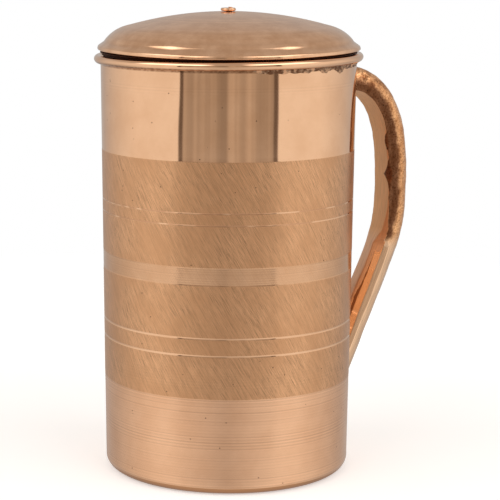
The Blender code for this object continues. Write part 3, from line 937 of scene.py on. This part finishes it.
def make_collar_solder():
    """A fillet between collar and dome: the CAD section with a hollow face and ripples."""
    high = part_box("collar_solder")[1]
    outer = high.x
    leg = 1.5 * MM
    corner_z = high.z - 1.6 * MM
    profile = np.concatenate([
        line((outer, corner_z - leg), (outer, corner_z), 5),
        line((outer, corner_z), (outer - leg, high.z), 6),
        round_corner(np.array((outer - leg, high.z)), np.array((outer - 0.25 * leg, corner_z - 0.2 * MM)),
                     np.array((outer, corner_z - leg)), 9)])

    def lumps(angle, r, z):
        x, y = r * np.cos(angle), r * np.sin(angle)
        free = smoothstep(-r, -outer + 0.02 * MM, -outer + 0.3 * MM)
        return -np.abs(ripple(x, y, z, 5 * MM, 61)) * 0.12 * MM * free

    fillet = lathe("collar_solder_fillet", profile, 256,
                   solder_finish("collar_solder_finish", SOLDER_GREY, 0.34), "lid", lumps)
    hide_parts("collar_solder")


def make_button():
    """Rivet through the crown: shank and peened tail turned, the button's rim nibbled on one
    side, and a small curl of metal left standing on top."""
    top = button_high.z - 0.6 * MM
    under = LID_APEX + 0.25 * MM
    radius = button_high.x
    half = (top - under) / 2
    shank = 1.2 * MM
    tail = button_low.z
    tail_r = 2.1 * MM
    profile = np.concatenate([
        [(0, top - 0.05 * MM)], line((0.6 * MM, top - 0.05 * MM), (radius - half, top), 6),
        bend((radius - half, top - half), half, 90, -90, 14),
        line((radius - 1.4 * half, under), (shank, under), 4),
        line((shank, under), (shank, tail + 0.9 * MM), 6),
        bend((shank, tail + 0.5 * MM), tail_r - shank, 60, -60, 7),
        [(0.6 * MM, tail + 0.02 * MM), (0, tail)]])

    def nibble(angle, r, z):
        head = smoothstep(z, under - 0.05 * MM, under + 0.1 * MM) * smoothstep(r, 1.6 * MM, 3.0 * MM)
        facing = angle - SIDEWAYS
        bite = bell(np.cos(facing), 1.0, 0.05) * 0.55 + bell(np.cos(facing - 0.55), 1.0, 0.012) * 0.5
        return -head * MM * (bite + 0.10 * np.abs(ripple(np.cos(angle), np.sin(angle), 0, 0.9, 71)))

    finish = plain_finish("rivet_finish", POLISHED, 0.14, 0.5 * MM, 0.02 * MM)
    button = lathe("button_rivet", profile, 128, finish, "lid", nibble)
    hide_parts("lid_button")

    count, around = 60, 20
    t = np.linspace(0, 1, count)[:, None]
    sweep = 0.3 + 4.6 * t
    ring = 0.85 * MM * (1 - 0.25 * t)
    centre = np.array([0.75 * MM, -0.25 * MM])
    turn = (np.arange(around) * math.tau / around)[None, :]
    thick = 0.26 * MM * (1 - 0.45 * t) * (0.55 + 0.45 * np.sqrt(np.clip(1 - (2 * t - 1) ** 8, 0, 1)))
    r = ring + thick * np.cos(turn)
    z = top + 0.06 * MM + 0.34 * MM * np.sin(math.pi * t * 0.9) * t + thick * 0.9 * np.sin(turn)
    z = np.minimum(z, button_high.z)
    grid = np.stack([centre[0] + r * np.cos(sweep), centre[1] + r * np.sin(sweep), z], axis=-1)
    curl = grid_piece("button_curl", grid, finish, "lid", first_tip=grid[0].mean(0),
                      last_tip=grid[-1].mean(0))


def make_burr():
    """Washer under the dome, its edges rounded and its face slightly dished by the peening."""
    top, foot, outer = burr_high.z, burr_low.z, burr_high.x
    half = (top - foot) / 2
    profile = np.concatenate([
        bend((outer - half, foot + half), half, 90, -90, 12),
        line((outer - 1.3 * half, foot), (1.6 * MM, foot + 0.05 * MM), 5),
        [(1.52 * MM, foot + 0.12 * MM), (1.52 * MM, top - 0.1 * MM), (1.6 * MM, top)]])
    burr = lathe("burr_washer", profile, 96,
                 plain_finish("burr_finish", (0.72, 0.42, 0.26, 1), 0.30), "lid")
    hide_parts("rivet_burr")


def paint_wire():
    """The wire keeps its CAD mesh, out of sight in the roll."""
    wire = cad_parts["rim_wire"]
    wire.data.materials.clear()
    wire.data.materials.append(plain_finish("wire_finish", (0.70, 0.40, 0.24, 1), 0.35))


# --- studio -------------------------------------------------------------------------------
def make_camera():
    """Stands in front and a little above, with the handle turned behind the right-hand edge."""
    distance, height = 797.6 * MM, 232.4 * MM
    pan, dip = math.radians(-1.922), math.radians(9.875)
    data = bpy.data.cameras.new("camera")
    data.lens = 135.7
    data.sensor_width = 36
    data.shift_x = 0.17
    data.dof.use_dof = False
    camera = bpy.data.objects.new("camera", data)
    camera.location = (-distance * math.sin(HANDLE_TURN), -distance * math.cos(HANDLE_TURN), height)
    camera.rotation_euler = Euler((math.pi / 2 - dip, 0, -HANDLE_TURN - pan))
    bpy.context.scene.collection.objects.link(camera)
    bpy.context.scene.camera = camera


def make_floor():
    """A pale disc that fades into the backdrop at its edge."""
    radius = 0.55
    count = 96
    angle = np.arange(count) * math.tau / count
    rings = np.array([0.1, 0.2, 0.3, 0.42, radius])[:, None]
    grid = np.stack([rings * np.cos(angle), rings * np.sin(angle), 0 * rings + 0 * angle], axis=-1)
    verts = np.concatenate([[(0, 0, 0)], grid.reshape(-1, 3)])
    faces = [(0, 1 + j, 1 + (j + 1) % count) for j in range(count)]
    for i in range(len(rings) - 1):
        low = 1 + i * count
        faces += [(low + j, low + count + j, low + count + (j + 1) % count, low + (j + 1) % count)
                  for j in range(count)]
    mesh = bpy.data.meshes.new("floor")
    mesh.from_pydata(verts.tolist(), [], faces)
    mesh.shade_smooth()
    floor = bpy.data.objects.new("floor", mesh)
    bpy.context.scene.collection.objects.link(floor)
    material = bpy.data.materials.new("floor_paper")
    material.use_nodes = True
    tree = material.node_tree
    shader = tree.nodes["Principled BSDF"]
    shader.inputs["Base Color"].default_value = (0.80, 0.80, 0.80, 1)
    shader.inputs["Roughness"].default_value = 0.9
    shader.inputs["Specular IOR Level"].default_value = 0.1
    shader.inputs["Emission Color"].default_value = (1, 1, 1, 1)
    shader.inputs["Emission Strength"].default_value = 0.42
    place = add(tree, "ShaderNodeTexCoord").outputs["Object"]
    reach = add(tree, "ShaderNodeVectorMath", {0: place}, operation="LENGTH").outputs[1]
    tree.links.new(fade(tree, reach, 0.30, 0.54, 1.0, 0.0), shader.inputs["Alpha"])
    mesh.materials.append(material)
    floor.visible_glossy = False


def make_light_tent():
    """A white light tent with a lamp above each side wall.

    It is open in front, with a pole on each side of the opening and a dim, uneven room beyond.
    Directions are compass degrees from the camera, with right as positive, and degrees above
    the horizon.
    """
    world = bpy.data.worlds.new("light_tent")
    bpy.context.scene.world = world
    world.use_nodes = True
    tree = world.node_tree
    tree.nodes.clear()
    aim = add(tree, "ShaderNodeTexCoord").outputs["Generated"]
    turned = add(tree, "ShaderNodeVectorRotate", {"Vector": aim, "Angle": HANDLE_TURN},
                 rotation_type="Z_AXIS").outputs[0]
    split = add(tree, "ShaderNodeSeparateXYZ", {0: turned}).outputs
    toward = times(tree, split["Y"], -1.0)
    compass = times(tree, calc(tree, "ARCTAN2", split["X"], toward), 180 / math.pi)
    climb = times(tree, calc(tree, "ARCSINE", split["Z"]), 180 / math.pi)

    def on_both_sides(near, far, soft):
        """1 between two compass angles, to the left and to the right."""
        return calc(tree, "MAXIMUM", band(tree, compass, -far, -near, soft),
                    band(tree, compass, near, far, soft))

    def rise(low, high):
        return add(tree, "ShaderNodeMapRange", {0: climb, 1: low, 2: high},
                   interpolation_type="SMOOTHSTEP").outputs[0]

    cloth, back, roof = (0.90, 0.86, 0.80, 1), (0.50, 0.48, 0.46, 1), (0.52, 0.48, 0.44, 1)
    lamp, pole, table = (2.5, 2.4, 2.3, 1), (0.15, 0.12, 0.10, 1), (0.70, 0.66, 0.61, 1)
    opening, pole_width = 45, 4
    room = ramp(tree, noise_along(tree, compass, 0.08),
                (0.35, (0.32, 0.28, 0.24)), (0.65, (0.56, 0.50, 0.43)))

    walls = blend_colour(tree, band(tree, compass, -120, 120, 60), back, cloth)
    walls = blend_colour(tree, band(tree, compass, -opening, opening, 1.5), walls, room)
    walls = blend_colour(tree, on_both_sides(opening - pole_width, opening, 1.5), walls, pole)
    floor_light = blend_colour(tree, on_both_sides(20, 100, 60), back, cloth)
    upper = blend_colour(tree, on_both_sides(20, 90, 15), roof, lamp)
    light = blend_colour(tree, rise(-14, -7), floor_light, walls)
    light = blend_colour(tree, rise(22, 34), light, upper)
    light = blend_colour(tree, rise(50, 62), light, roof)
    light = blend_colour(tree, rise(-70, -40), table, light)
    seen = add(tree, "ShaderNodeLightPath").outputs["Is Camera Ray"]
    light = blend_colour(tree, seen, light, (1, 1, 1, 1))
    background = add(tree, "ShaderNodeBackground", {"Color": light, "Strength": 1.0})
    end = add(tree, "ShaderNodeOutputWorld")
    tree.links.new(background.outputs[0], end.inputs[0])
    bpy.context.scene.view_settings.view_transform = "Standard"


make_body()
make_rim_solder()
make_handle()
make_joints()
make_lid()
make_collar_solder()
make_button()
make_burr()
paint_wire()
make_floor()
make_light_tent()
make_camera()
